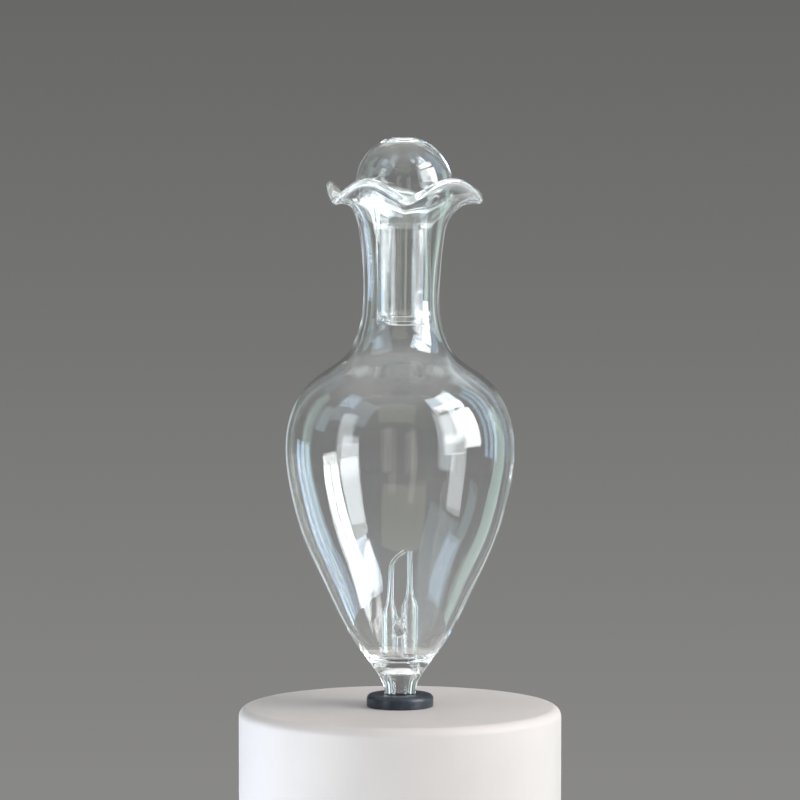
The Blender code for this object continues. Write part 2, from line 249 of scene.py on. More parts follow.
def rounded_end(centre, out, along, half, steps):
    """The points of a half circle that closes a wall, from its outer side round to its inner side."""
    turns = [math.pi * k / steps for k in range(1, steps)]
    return [centre + (out * math.cos(turn) + along * math.sin(turn)) * half for turn in turns]


def add(name, mesh):
    """An object in the scene, with this mesh."""
    obj = bpy.data.objects.new(name, mesh)
    bpy.context.scene.collection.objects.link(obj)
    return obj


def combined(base, tools):
    """The base with other shapes joined to it or cut from it, as (operation, object); the tools go."""
    for operation, tool in tools:
        modifier = base.modifiers.new(tool.name, "BOOLEAN")
        modifier.operation = operation
        modifier.solver = "EXACT"
        modifier.object = tool
    mesh = bpy.data.meshes.new_from_object(base.evaluated_get(bpy.context.evaluated_depsgraph_get()))
    mesh.name = base.name
    base.modifiers.clear()
    base.data = mesh
    for _, tool in tools:
        bpy.data.objects.remove(tool)
    return base


def add_bubbles(mesh, spots):
    """Adds small round hollows to a mesh, as (centre, radius)."""
    bm = bmesh.new()
    bm.from_mesh(mesh)
    for centre, radius in spots:
        at = Matrix.Translation(centre)
        made = bmesh.ops.create_icosphere(bm, subdivisions=2, radius=radius, matrix=at)
        faces = {face for vertex in made["verts"] for face in vertex.link_faces}
        bmesh.ops.reverse_faces(bm, faces=list(faces))
    bm.to_mesh(mesh)
    bm.free()


def piece(obj, body, slot, material, *nodes):
    """Shades a piece, hangs it under its body and hides the CAD nodes that it stands for; the slot is not
    used.
    """
    obj.data.materials.clear()
    obj.data.materials.append(material)
    obj.data.shade_smooth()
    obj.data.set_sharp_from_angle(angle=SHARP_ANGLE)
    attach(obj, body)
    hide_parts(*nodes)
    return obj


# ---- Materials ----


def nodes_of(material):
    material.use_nodes = True
    tree = material.node_tree
    return tree, tree.nodes["Principled BSDF"]


def noise_node(tree, scale, detail=3.0, distortion=0.0):
    """Noise over the piece's own coordinates."""
    place = tree.nodes.get("place") or tree.nodes.new("ShaderNodeTexCoord")
    place.name = "place"
    noise = tree.nodes.new("ShaderNodeTexNoise")
    noise.inputs["Scale"].default_value = scale
    noise.inputs["Detail"].default_value = detail
    noise.inputs["Distortion"].default_value = distortion
    tree.links.new(place.outputs["Object"], noise.inputs["Vector"])
    return noise


def ramp_node(tree, source, stops):
    """A colour ramp over a factor, with stops of (place, colour)."""
    ramp = tree.nodes.new("ShaderNodeValToRGB")
    elements = ramp.color_ramp.elements
    for k, (at, colour) in enumerate(stops):
        element = elements[k] if k < 2 else elements.new(at)
        element.position = at
        element.color = (*colour, 1)
    tree.links.new(source, ramp.inputs["Fac"])
    return ramp


def bumps(tree, shader, layers):
    """Bump layers of (noise node, strength, distance), one over the other."""
    below = None
    for noise, strength, distance in layers:
        bump = tree.nodes.new("ShaderNodeBump")
        bump.inputs["Strength"].default_value = strength
        bump.inputs["Distance"].default_value = distance
        tree.links.new(noise.outputs["Fac"], bump.inputs["Height"])
        if below:
            tree.links.new(below.outputs["Normal"], bump.inputs["Normal"])
        below = bump
    tree.links.new(below.outputs["Normal"], shader.inputs["Normal"])


def grey(value):
    return (value, value, value)


GLASS_IOR = 1.47
RUBBER_IOR = 1.5
GLASS_TINT, STREAK_TINT = (0.985, 0.992, 0.992), (0.965, 0.985, 0.980)
MARK_ROUGHNESS = 0.05  # of the specks and wipe marks
PAINTED_GLOW_TINT = (0.86, 1.0, 0.94)  # painted glow: a faint greenish-white light that every glass surface gives off, though it is no lamp
PAINTED_GLOW_STRENGTH = 0.0025
MILKY_RIM_RADII = (0.0210, 0.0224)  # the rim is clear inside the first and milky outside the second
MILKY_RIM_RISE = 0.003  # above the flare's foot, over which it turns milky
RIM_MILK = 0.13  # share of the light that the milky glass scatters
BEAD_REACH = (0.0017, 0.0034, 0.0034)
BEAD_MILK = 0.75


def glass_material(name):
    """Clear blown glass: faint streaks of tint, a ripple from the blowing, specks and wipe marks, and a
    faint painted glow.
    """
    material = bpy.data.materials.new(name)
    tree, shader = nodes_of(material)
    streaks = noise_node(tree, scale=35, detail=2, distortion=0.6)
    colour = ramp_node(tree, streaks.outputs["Fac"], ((0.35, GLASS_TINT), (0.70, STREAK_TINT)))
    tree.links.new(colour.outputs["Color"], shader.inputs["Base Color"])
    marks = noise_node(tree, scale=190, detail=5, distortion=1.2)
    rough = ramp_node(tree, marks.outputs["Fac"], ((0.62, grey(0.0)), (0.78, grey(MARK_ROUGHNESS))))
    tree.links.new(rough.outputs["Color"], shader.inputs["Roughness"])
    shader.inputs["Transmission Weight"].default_value = 1
    shader.inputs["IOR"].default_value = GLASS_IOR
    # painted glow: the glass gives off faint greenish-white light of its own, though it is no lamp
    shader.inputs["Emission Color"].default_value = (*PAINTED_GLOW_TINT, 1)
    shader.inputs["Emission Strength"].default_value = PAINTED_GLOW_STRENGTH
    swell = noise_node(tree, scale=60, detail=1)
    fine = noise_node(tree, scale=420, detail=2)
    bumps(tree, shader, ((swell, 0.10, 0.0006), (fine, 0.03, 0.0001)))
    return material


def vector_node(tree, operation, source, value=(0, 0, 0)):
    """A vector, or the length of one, computed from the output of another node."""
    node = tree.nodes.new("ShaderNodeVectorMath")
    node.operation = operation
    tree.links.new(source, node.inputs[0])
    node.inputs[1].default_value = value
    return node.outputs["Value" if operation == "LENGTH" else "Vector"]


def range_node(tree, source, low, high):
    """0 at low, 1 at high, and smooth between them; low may be the larger."""
    node = tree.nodes.new("ShaderNodeMapRange")
    node.interpolation_type = "SMOOTHSTEP"
    node.inputs["From Min"].default_value = low
    node.inputs["From Max"].default_value = high
    tree.links.new(source, node.inputs["Value"])
    return node.outputs["Result"]


def product(tree, first, second):
    """The output of one node times that of another, or times a number."""
    node = tree.nodes.new("ShaderNodeMath")
    node.operation = "MULTIPLY"
    tree.links.new(first, node.inputs[0])
    if isinstance(second, float):
        node.inputs[1].default_value = second
    else:
        tree.links.new(second, node.inputs[1])
    return node.outputs["Value"]


def cloud(tree, shader, mask, amount):
    """Lets glass scatter an amount of the light where the mask is 1."""
    clear = tree.nodes.new("ShaderNodeMath")
    clear.operation = "SUBTRACT"
    clear.inputs[0].default_value = 1.0
    tree.links.new(product(tree, mask, amount), clear.inputs[1])
    tree.links.new(clear.outputs["Value"], shader.inputs["Transmission Weight"])


def body_glass_material():
    """Clear glass with a faintly milky rim, where it was worked longest in the flame."""
    material = glass_material("clear_blown_glass")
    tree, shader = nodes_of(material)
    place = tree.nodes["place"].outputs["Object"]
    across = vector_node(tree, "LENGTH", vector_node(tree, "MULTIPLY", place, (1, 1, 0)))
    up = tree.nodes.new("ShaderNodeSeparateXYZ")
    tree.links.new(place, up.inputs["Vector"])
    outermost = range_node(tree, across, *MILKY_RIM_RADII)
    above = range_node(tree, up.outputs["Z"], FLARE_Z, FLARE_Z + MILKY_RIM_RISE)
    cloud(tree, shader, product(tree, outermost, above), RIM_MILK)
    return material


def welded_glass_material():
    """Clear glass, crinkled and cloudy with fine bubbles where the bead joins the two tubes."""
    material = glass_material("welded_glass")
    tree, shader = nodes_of(material)
    place = tree.nodes["place"].outputs["Object"]
    offset = vector_node(tree, "SUBTRACT", place, BEAD_CENTRE)
    scaled = vector_node(tree, "DIVIDE", offset, BEAD_REACH)
    near = range_node(tree, vector_node(tree, "LENGTH", scaled), 1.0, 0.75)
    grain = noise_node(tree, scale=1100, detail=3, distortion=1.5)
    crinkle = tree.nodes.new("ShaderNodeBump")
    crinkle.inputs["Distance"].default_value = 0.0004
    tree.links.new(grain.outputs["Fac"], crinkle.inputs["Height"])
    tree.links.new(near, crinkle.inputs["Strength"])
    tree.links.new(shader.inputs["Normal"].links[0].from_socket, crinkle.inputs["Normal"])
    tree.links.new(crinkle.outputs["Normal"], shader.inputs["Normal"])
    cloud(tree, shader, product(tree, near, range_node(tree, grain.outputs["Fac"], 0.38, 0.50)), BEAD_MILK)
    return material


def rubber_material():
    """Satin black rubber with a fine grain and a little dust."""
    material = bpy.data.materials.new("black_rubber_visual")
    tree, shader = nodes_of(material)
    clean, dusty = (0.014, 0.020, 0.031), (0.028, 0.038, 0.055)
    dust = noise_node(tree, scale=260, detail=6, distortion=0.4)
    colour = ramp_node(tree, dust.outputs["Fac"], ((0.45, clean), (0.75, dusty)))
    tree.links.new(colour.outputs["Color"], shader.inputs["Base Color"])
    grain = noise_node(tree, scale=900, detail=4)
    rough = ramp_node(tree, grain.outputs["Fac"], ((0.3, grey(0.26)), (0.7, grey(0.42))))
    tree.links.new(rough.outputs["Color"], shader.inputs["Roughness"])
    shader.inputs["IOR"].default_value = RUBBER_IOR
    bumps(tree, shader, ((grain, 0.25, 0.0001), (noise_node(tree, scale=5000, detail=2), 0.2, 0.00002)))
    return material


def pedestal_material():
    """Pale satin paint with the faintest mottling."""
    material = bpy.data.materials.new("pale_satin")
    tree, shader = nodes_of(material)
    darker, paler = (0.50, 0.465, 0.45), (0.55, 0.51, 0.495)
    mottle = noise_node(tree, scale=30, detail=4)
    colour = ramp_node(tree, mottle.outputs["Fac"], ((0.3, darker), (0.7, paler)))
    tree.links.new(colour.outputs["Color"], shader.inputs["Base Color"])
    shader.inputs["Roughness"].default_value = 0.55
    bumps(tree, shader, ((noise_node(tree, scale=700, detail=4), 0.15, 0.0001),))
    return material


def floor_material():
    """Pale matt floor that fades out far from the pedestal."""
    material = bpy.data.materials.new("pale_floor")
    tree, shader = nodes_of(material)
    shader.inputs["Base Color"].default_value = (0.48, 0.475, 0.47, 1)
    shader.inputs["Roughness"].default_value = 0.9
    place = tree.nodes.new("ShaderNodeTexCoord")
    away = vector_node(tree, "LENGTH", place.outputs["Object"])
    tree.links.new(range_node(tree, away, FLOOR_END, FLOOR_FADE_START), shader.inputs["Alpha"])
    return material


CLEAR = glass_material("clear_glass_visual")
BODY_GLASS = body_glass_material()
WELDED = welded_glass_material()
BLACK_RUBBER = rubber_material()

# ---- Blown body ----


def body_point(radius, angle, z, depth):
    """A point on the body's outer wall, depth 0, or inner wall, depth 1, with the blower's unevenness."""
    uneven = RIPPLE * ripple(angle, z, depth) * min(1.0, radius / BODY_RIPPLE_RADIUS)
    return around(radius + uneven, angle, z, lean_x(z))


def crest_share(angle):
    """0 in a trough of the ruffled rim, 1 on a full crest, at an azimuth in degrees."""
    starts = [start for start, _ in RIM_LOBES]
    ends = starts[1:] + [starts[0] + 360]
    while angle < starts[0]:
        angle += 360
    while angle >= ends[-1]:
        angle -= 360
    for (start, reach), end in zip(RIM_LOBES, ends):
        if angle < end:
            arch = math.sin(math.pi * (angle - start) / (end - start))
            floor = TROUGH_ROUNDING
            return reach * (math.hypot(arch, floor) - floor) / (math.hypot(1, floor) - floor)
    return 0.0


def flare_profile(share):
    """The flare's outer side, rounded rim and inner side as (radius, height), for one crest share."""
    lobe = {key: mix(TROUGH[key], CREST[key], share) for key in CREST}
    outer, slope = outline_at(FLARE_Z)
    wall = table_at(WALL, FLARE_Z)
    start = Vector((outer - wall / 2, FLARE_Z))
    rise = Vector((slope, 1)).normalized()
    exit_angle = math.radians(lobe["exit"])
    end = Vector((lobe["radius"], lobe["height"]))
    a, b, d = start, start + rise * lobe["rise"], end
    c = end - Vector((math.cos(exit_angle), math.sin(exit_angle))) * lobe["curl"]
    under, over = [], []
    for k in range(FLARE_STEPS + 1):
        t = k / FLARE_STEPS
        point = a * (1 - t) ** 3 + b * 3 * t * (1 - t) ** 2 + c * 3 * t * t * (1 - t) + d * t**3
        along = ((b - a) * (1 - t) ** 2 + (c - b) * 2 * t * (1 - t) + (d - c) * t * t).normalized()
        out = Vector((along.y, -along.x))
        half = mix(wall / 2, RIM_BEAD, smooth(t))
        under.append(point + out * half)
        over.append(point - out * half)
    return under + rounded_end(end, out, along, RIM_BEAD, RIM_STEPS) + over[::-1]


def hollow_profile():
    """From the top of the hollow under the floor down the stem's bore."""
    dome_steps, flare_steps = 12, 15
    rise = HOLLOW_TOP_Z - HOLLOW_EDGE_Z
    points = []
    for k in range(dome_steps + 1):
        turn = math.pi / 2 * k / dome_steps
        points.append((HOLLOW_RADIUS * math.sin(turn) ** 0.5, HOLLOW_EDGE_Z + rise * math.cos(turn) ** 0.5))
    for k in range(1, flare_steps + 1):
        t = 1 - k / flare_steps
        points.append((mix(STEM_BORE, HOLLOW_RADIUS, t**3), mix(HOLLOW_FLARE_Z, HOLLOW_EDGE_Z, t)))
    return points + [(STEM_BORE, 0.0), (STEM_BORE, STEM_RING_Z)]


def foot_profile():
    """Round the stem's fire-polished foot, from its bore to its outside."""
    steps = 5
    low = STEM_FOOT_Z + POLISH
    points = []
    for centre, start in ((STEM_BORE + POLISH, math.pi), (STEM_RADIUS - POLISH, math.pi * 1.5)):
        for k in range(steps + 1):
            turn = start + math.pi / 2 * k / steps
            points.append((centre + POLISH * math.cos(turn), low + POLISH * math.sin(turn)))
    return points + [(STEM_RADIUS, STEM_RING_Z)]


def well_profile():
    """From the wall's foot inside the reservoir to the middle of the glass floor."""
    steps = 12
    wall = Vector((inner_radius(FLOOR_EDGE_Z), FLOOR_EDGE_Z))
    corner = Vector((inner_radius(FLOOR_TOP_Z), FLOOR_TOP_Z))
    flat = Vector((FLOOR_FLAT_RADIUS, FLOOR_TOP_Z))
    points = []
    for k in range(1, steps + 1):
        t = k / steps
        points.append(tuple(wall * (1 - t) ** 2 + corner * 2 * t * (1 - t) + flat * t * t))
    return points + [(FLOOR_FLAT_RADIUS * share, FLOOR_TOP_Z) for share in (0.75, 0.5, 0.25, 0)]


def flare_depth(share):
    """Depth for body_point at a share of the way along the flare's profile: it changes round the rim."""
    return smooth(share * 5 - 2)


def wall_bubbles():
    """The tiny bubbles in the glass, as (centre, radius)."""
    spots = [FLOOR_BUBBLE]
    for k in range(SEEDS):
        z = mix(*SEED_HEIGHTS, k * GOLDEN_SHARE % 1)
        radius = (outline_at(z)[0] + inner_radius(z)) / 2
        centre = Vector(around(radius, k * GOLDEN_TURN, z, lean_x(z)))
        spots.append((centre, mix(*SEED_RADII, k * SIZE_SHARE % 1)))
    return spots


def add_blown_body():
    """Stem, floor, bulb and neck, which are fused into one piece of glass."""
    below = hollow_profile() + foot_profile()
    outside = [(outline_at(z)[0], z) for z in even_heights(0, FLARE_Z, OUTSIDE_ROWS)[:-1]]
    inside = [(inner_radius(z), z) for z in even_heights(FLOOR_EDGE_Z, FLARE_Z, INSIDE_ROWS)[-2::-1]]
    well = well_profile()
    loops = []
    for j in range(BODY_SIDES):
        degrees = 360 * j / BODY_SIDES
        angle = math.radians(degrees)
        flare = flare_profile(crest_share(degrees))
        last = len(flare) - 1
        loop = [around(r, angle, z) for r, z in below]
        loop += [body_point(r, angle, z, 0) for r, z in outside]
        loop += [body_point(r, angle, z, flare_depth(k / last)) for k, (r, z) in enumerate(flare)]
        loop += [body_point(r, angle, z, 1) for r, z in inside]
        loops.append(loop + [around(r, angle, z) for r, z in well])
    body = add("blown_body_glass", skinned("blown_body_glass", loops, closed=False))
    foot, top = HOLLOW_TOP_Z - CUT_SPARE, FLOOR_TOP_Z + CUT_SPARE
    rod = [(0, foot), (AIR_BORE, foot), (AIR_BORE, top), (0, top)]
    bore = add("air_bore", turned("air_bore", rod, 64, closed=False, centre_x=AIR_X))
    combined(body, (("DIFFERENCE", bore),))
    add_bubbles(body.data, wall_bubbles())
    nodes = ("stem_tube", "well_floor", "reservoir_bulb", "ruffled_neck")
    piece(body, "glass", "clear_glass", BODY_GLASS, *nodes)


# ---- Nebuliser: the air tube, the oil tube and the bead that joins them ----

TUBE_WALL = 0.0009
FOOT_FLARE = 0.0008  # where the air tube runs out onto the floor
FOOT_GAP = 2e-6  # between the air tube's foot and the floor, which are fused on the real object
AIR_BORE = TUBE_RADIUS - TUBE_WALL
JET_RADIUS = 0.00077
JET_BORE = 0.0003
AIR_SHOULDER_Z = 0.0305
AIR_HALF_DRAWN = 0.0035  # rise above the shoulder over which the tube narrows half way to its tip
OIL_SHOULDER_Z = 0.0275
OIL_HALF_DRAWN = 0.0039
# Middle of the oil tube, as (x, z)
OIL_PATH = (
    (-0.00315, 0.0166),
    (-0.00315, OIL_SHOULDER_Z),
    (-0.00295, 0.0340),
    (-0.00278, 0.0400),
    (-0.00268, 0.0430),
    (-0.00225, 0.0451),
    (-0.00120, 0.0467),
    (0.00015, 0.0480),
    (0.00150, 0.0489),
)
BEAD_HALF_WIDTH = 0.0021
BEAD_PROUD = 0.0007  # how far it stands out past the CAD bead, to the front and to the back
BEAD_TOP_WIDTH = 0.50  # share of its width that is left at its top
BEAD_NARROWS_FROM = -0.2  # as a share of its half height
BEAD_RIPPLE = 0.05
BEAD_RIPPLE_SCALE = 1 / 40  # height in the ripple for the bead's half height, in metres
BEAD_BUBBLES = 14
BEAD_BUBBLE_RISES = (-0.75, 0.55)  # as shares of the bead's half height
BEAD_BUBBLE_SPREAD = (0.55, 0.62)  # to the sides and to the front and back, as shares of its half sizes
BEAD_BUBBLE_RADII = (0.00016, 0.00034)


def drawn_radius(rise, half_drawn):
    """Radius of a tube drawn out to a fine tip, at a rise above its shoulder."""
    if rise <= 0:
        return TUBE_RADIUS
    return JET_RADIUS + (TUBE_RADIUS - JET_RADIUS) / (1 + (rise / half_drawn) ** 3)


def bore_radius(outer):
    """The bore narrows with the tube, down to the jet's own bore."""
    drawn = (TUBE_RADIUS - outer) / (TUBE_RADIUS - JET_RADIUS)
    return mix(AIR_BORE, JET_BORE, drawn)


def curve_through(points, per_span):
    """Points on a smooth curve through the given 2-D points."""
    points = [Vector(point) for point in points]
    padded = [points[0] * 2 - points[1]] + points + [points[-1] * 2 - points[-2]]
    found = []
    for a, b, c, d in zip(padded, padded[1:], padded[2:], padded[3:]):
        rise, bend, twist = c - a, 2 * a - 5 * b + 4 * c - d, 3 * b - a - 3 * c + d
        for k in range(per_span):
            t = k / per_span
            found.append(b + (rise * t + bend * t**2 + twist * t**3) / 2)
    return found + [points[-1]]


def swept(name, path, radii, sides=40):
    """A closed round solid along a path in the XZ plane."""
    stations = []
    for k, (point, radius) in enumerate(zip(path, radii)):
        along = (path[min(k + 1, len(path) - 1)] - path[max(k - 1, 0)]).normalized()
        stations.append((Vector((point.x, 0, point.y)), Vector((along.y, 0, -along.x)), radius))
    stations.insert(0, (stations[0][0], stations[0][1], 0))
    stations.append((stations[-1][0], stations[-1][1], 0))
    loops = []
    for j in range(sides):
        turn = math.tau * j / sides
        aside = Vector((0, math.sin(turn), 0))
        loop = [at + (square * math.cos(turn) + aside) * radius for at, square, radius in stations]
        loops.append([tuple(point) for point in loop])
    return add(name, skinned(name, loops, closed=False))


def lengthened(path, extra):
    """The path with a straight bit added at each end."""
    first = path[0] + (path[0] - path[1]).normalized() * extra
    last = path[-1] + (path[-1] - path[-2]).normalized() * extra
    return [first] + path + [last]


def air_path():
    """The middle of the air tube from its foot to its tip, and how far it is flared out at each place."""
    foot_steps, steps = 8, 60
    foot, rise = FLOOR_TOP_Z + FOOT_GAP, AIR_HIGH.z - AIR_SHOULDER_Z
    turns = [math.pi / 2 * k / foot_steps for k in range(foot_steps + 1)]
    path = [Vector((AIR_X, foot + FOOT_FLARE * (1 - math.cos(turn)))) for turn in turns]
    path += [Vector((AIR_X, AIR_SHOULDER_Z + rise * k / steps)) for k in range(steps + 1)]
    flare = [FOOT_FLARE * (1 - math.sin(turn)) for turn in turns]
    return path, flare + [0.0] * (steps + 1)


def add_bead():
    """The bead that joins the two tubes, narrower towards its top and a little uneven."""
    bm = bmesh.new()
    bmesh.ops.create_uvsphere(bm, u_segments=64, v_segments=48, radius=1)
    for vertex in bm.verts:
        x, y, z = vertex.co
        narrow = mix(1.0, BEAD_TOP_WIDTH, smooth((z - BEAD_NARROWS_FROM) / (1 - BEAD_NARROWS_FROM)))
        narrow *= 1 + BEAD_RIPPLE * ripple(math.atan2(x, -y), z * BEAD_RIPPLE_SCALE, 3)
        half_depth = BEAD_HALF.y + BEAD_PROUD
        offset = Vector((x * BEAD_HALF_WIDTH * narrow, y * half_depth * narrow, z * BEAD_HALF.z))
        vertex.co = BEAD_CENTRE + offset
    mesh = bpy.data.meshes.new("bead")
    bm.to_mesh(mesh)
    bm.free()
    return add("bead", mesh)


def bead_bubbles():
    """The bubbles caught in the bead, as (centre, radius)."""
    spots = []
    wide, deep = BEAD_BUBBLE_SPREAD
    for k in range(BEAD_BUBBLES):
        turn = k * GOLDEN_TURN
        rise = mix(*BEAD_BUBBLE_RISES, k / (BEAD_BUBBLES - 1))
        aside, out = wide * math.sin(turn), deep * math.sqrt(1 - rise * rise) * math.cos(turn)
        offset = Vector((aside * BEAD_HALF.x, out * BEAD_HALF.y, rise * BEAD_HALF.z))
        spots.append((BEAD_CENTRE + offset, mix(*BEAD_BUBBLE_RADII, k * GOLDEN_SHARE % 1)))
    return spots


def add_nebuliser():
    """The air tube, the oil tube and the bead, which are fused into one piece of glass."""
    air, flare = air_path()
    oil = curve_through(OIL_PATH, 10)
    solids, bores = [], []
    for name, path, shoulder, half_drawn, extras in (
        ("nebuliser_glass", air, AIR_SHOULDER_Z, AIR_HALF_DRAWN, flare),
        ("oil_side", oil, OIL_SHOULDER_Z, OIL_HALF_DRAWN, [0.0] * len(oil)),
    ):
        radii = [drawn_radius(point.y - shoulder, half_drawn) for point in path]
        inside = [bore_radius(radius) for radius in radii]
        solids.append(swept(name, path, [radius + extra for radius, extra in zip(radii, extras)]))
        inside = [inside[0]] + inside + [inside[-1]]
        bores.append(swept(name + "_bore", lengthened(path, CUT_SPARE), inside))
    joined = [("UNION", solids[1]), ("UNION", add_bead())]
    nebuliser = combined(solids[0], joined + [("DIFFERENCE", bore) for bore in bores])
    add_bubbles(nebuliser.data, bead_bubbles())
    piece(nebuliser, "glass", "clear_glass", WELDED, "air_jet_tube", "oil_tube", "bridge_bead")


# ---- Silencer ----

GLOBE_Z = 0.1635
GLOBE_RADIUS = (GLOBE_HIGH.x - GLOBE_LOW.x) / 2
GLOBE_WALL = 0.0005
MOUTH_RADIUS = 0.0043
MOUTH_LIP = 0.00042  # half the lip's thickness
MOUTH_LIP_SPREAD = 1 / 9  # share of the way down the globe over which the lip thins out
SILENCER_RADIUS = (TUBE_HIGH.x - TUBE_LOW.x) / 2
SILENCER_WALL = 0.0012
FOOT_LIP = 0.00095  # half the thickness of the rounded lip at the foot
FOOT_LIP_RISE = 0.0035
FILLET_RISE = 0.0012  # the globe runs into its tube from this far above the crease to as far below it
SILENCER_SIDES = 180
SILENCER_RIPPLE_RADIUS = 0.01


def polar_point(radius, angle):
    """The (radius, height) of a point on the globe, at an angle from straight up."""
    return Vector((radius * math.sin(angle), GLOBE_Z + radius * math.cos(angle)))


def shank_radius(z, globe_radius, tube_radius):
    """Radius where the globe runs into its tube, with a soft crease."""
    low, high = GLOBE_LOW.z - FILLET_RISE, GLOBE_LOW.z + FILLET_RISE
    t = min(1.0, max(0.0, (z - low) / (high - low)))
    on_globe = math.sqrt(globe_radius**2 - (GLOBE_Z - high) ** 2)
    lift = on_globe - tube_radius
    slope = (GLOBE_Z - high) / on_globe * (high - low)
    return tube_radius + lift * (3 * t * t - 2 * t**3) + slope * (t**3 - t * t)


def silencer_point(radius, angle, z, depth):
    """A point on the silencer, with half of the body's unevenness, and less near its axis."""
    uneven = RIPPLE * 0.5 * ripple(angle + 1, z, depth + 2) * min(1.0, radius / SILENCER_RIPPLE_RADIUS)
    return around(radius + uneven, angle, z, SILENCER_X)


def add_silencer():
    """The globe and its tube, which are one piece of glass."""
    middle = GLOBE_RADIUS - GLOBE_WALL / 2
    start = math.asin(MOUTH_RADIUS / middle)
    high, low = GLOBE_LOW.z + FILLET_RISE, GLOBE_LOW.z - FILLET_RISE
    lip_z = TUBE_LOW.z + FOOT_LIP
    steps, crease = 80, 16
    sides = []
    for side in (1, -1):
        globe = middle + side * GLOBE_WALL / 2
        end = math.acos((high - GLOBE_Z) / globe)
        tube = SILENCER_RADIUS - (SILENCER_WALL if side < 0 else 0)
        points = []
        for k in range(steps + 1):
            half = mix(MOUTH_LIP, GLOBE_WALL / 2, smooth(k / steps / MOUTH_LIP_SPREAD))
            points.append(polar_point(middle + side * half, mix(start, end, k / steps)))
        for k in range(1, crease + 1):
            z = mix(high, low, k / crease)
            points.append(Vector((shank_radius(z, globe, tube), z)))
        for k in range(1, steps + 1):
            z = mix(low, lip_z, k / steps)
            thicker = (2 * FOOT_LIP - SILENCER_WALL) * (1 - smooth((z - lip_z) / FOOT_LIP_RISE))
            points.append(Vector((tube - (thicker if side < 0 else 0), z)))
        sides.append(points)
    foot_centre = Vector((SILENCER_RADIUS - FOOT_LIP, lip_z))
    foot = rounded_end(foot_centre, Vector((1, 0)), Vector((0, -1)), FOOT_LIP, 14)
    mouth_centre = polar_point(middle, start)
    out = (mouth_centre - Vector((0, GLOBE_Z))).normalized()
    mouth = rounded_end(mouth_centre, out, Vector((-out.y, out.x)), MOUTH_LIP, 12)
    profile = sides[0] + foot + sides[1][::-1] + mouth[::-1]
    loops = []
    for j in range(SILENCER_SIDES):
        angle = math.tau * j / SILENCER_SIDES
        depths = [k / len(profile) for k in range(len(profile))]
        loops.append([silencer_point(r, angle, z, depth) for depth, (r, z) in zip(depths, profile)])
    silencer = add("silencer_glass", skinned("silencer_glass", loops))
    piece(silencer, "silencer", "clear_glass", CLEAR, "silencer_globe", "silencer_tube")


# ---- Gasket ----

STEM_CLEARANCE = 0.0002
SLEEVE_RADIUS = 0.007
GASKET_EDGE = 0.0016  # radius of its rounded top edge
GASKET_NICK = 0.0004  # of its small edges


def add_gasket():
    """A flanged ring: the flange rests on the base, and the sleeve below it fills the base's socket."""
    radius, height, foot = GASKET_HIGH.x, GASKET_HIGH.z, GASKET_LOW.z
    bore, sleeve = STEM_RADIUS + STEM_CLEARANCE, SLEEVE_RADIUS
    edge, nick = GASKET_EDGE, GASKET_NICK
    profile = [(bore, foot), (sleeve - nick, foot), (sleeve, foot + nick), (sleeve, 0)]
    for low, turn_from, size in ((0, -90, nick), (height - 2 * edge, 0, edge)):
        for k in range(10):
            turn = math.radians(turn_from + 10 * k)
            profile.append((radius - size + size * math.cos(turn), low + size + size * math.sin(turn)))
    for k in range(6):
        turn = math.radians(90 + 18 * k)
        profile.append((bore + nick + nick * math.cos(turn), height - nick + nick * math.sin(turn)))
    mesh = turned("gasket_rubber", profile, 160)
    piece(add("gasket_rubber", mesh), "gasket", "black_rubber", BLACK_RUBBER, "stem_gasket")


# ---- Stage: pedestal, floor, panels of light, backdrop and camera ----

PEDESTAL_RADIUS = 0.0506
PEDESTAL_FOOT_Z = -0.90
PEDESTAL_EDGE = 0.003
SOCKET_RADIUS = 0.0072
SOCKET_DEPTH = 0.020
FLOOR_FADE_START, FLOOR_END = 2.6, 4.6  # distances from the pedestal
FLOOR_SPARE = 0.2

AIM = Vector((0, 0, 0.0963))
CAMERA_DISTANCE = 1.30
CAMERA_ELEVATION = 3.7
VIEW_WIDTH = 0.25  # of the frame, at the object
PANEL_DISTANCE = 1.0

# Panels as (azimuth, elevation, width, height, panes across, panes up, radiance, colour), in degrees
PANELS = {
    "window_left": (-74, -34, 19, 46, 2, 1, 9.5, (0.90, 0.96, 1.0)),
    "window_left_low": (-63, -52, 30, 24, 2, 1, 7.5, (0.76, 0.88, 1.0)),
    "post_left": (-51, -11, 19, 46, 1, 1, 3.8, (0.88, 0.93, 1.0)),
    "sky_left": (-113, -24, 24, 50, 3, 1, 3.2, (0.50, 0.72, 1.0)),
    "sky_high_left": (-60, 40, 42, 32, 1, 1, 1.2, (0.70, 0.86, 1.0)),
    "high_left": (-92, 22, 14, 22, 1, 1, 1.3, (0.70, 0.90, 1.0)),
    "rear_left": (-160, -20, 12, 50, 1, 1, 0.5, (0.80, 0.90, 1.0)),
    "window_right_near": (79, 18, 20, 34, 1, 1, 10.0, (1.0, 1.0, 1.0)),
    "window_right_far": (56, 20, 20, 28, 1, 1, 5.5, (0.95, 0.98, 1.0)),
    "window_right_top": (67, 43, 34, 9, 2, 1, 8.0, (1.0, 1.0, 1.0)),
    "post_right": (61, -16, 17, 28, 1, 1, 4.0, (0.93, 0.97, 1.0)),
    "post_right_top": (57, 5, 25, 16, 1, 1, 4.0, (0.93, 0.97, 1.0)),
    "low_right": (72, -46, 18, 18, 1, 1, 2.6, (0.55, 0.75, 1.0)),
    "garden_right": (118, -10, 20, 60, 1, 1, 1.4, (0.72, 1.0, 0.90)),
    "rear_right": (158, -15, 10, 50, 1, 1, 0.35, (0.85, 1.0, 0.95)),
    "sky_back": (180, 50, 40, 22, 1, 1, 1.0, (0.93, 1.0, 0.98)),
    "room_left": (-14, 4, 7, 40, 1, 1, 0.9, (1.0, 0.94, 0.86)),
    "room_right": (10, 2, 9, 36, 1, 1, 0.7, (1.0, 0.95, 0.85)),
    "lawn": (4, -36, 40, 26, 1, 1, 0.7, (0.98, 1.0, 0.74)),
}
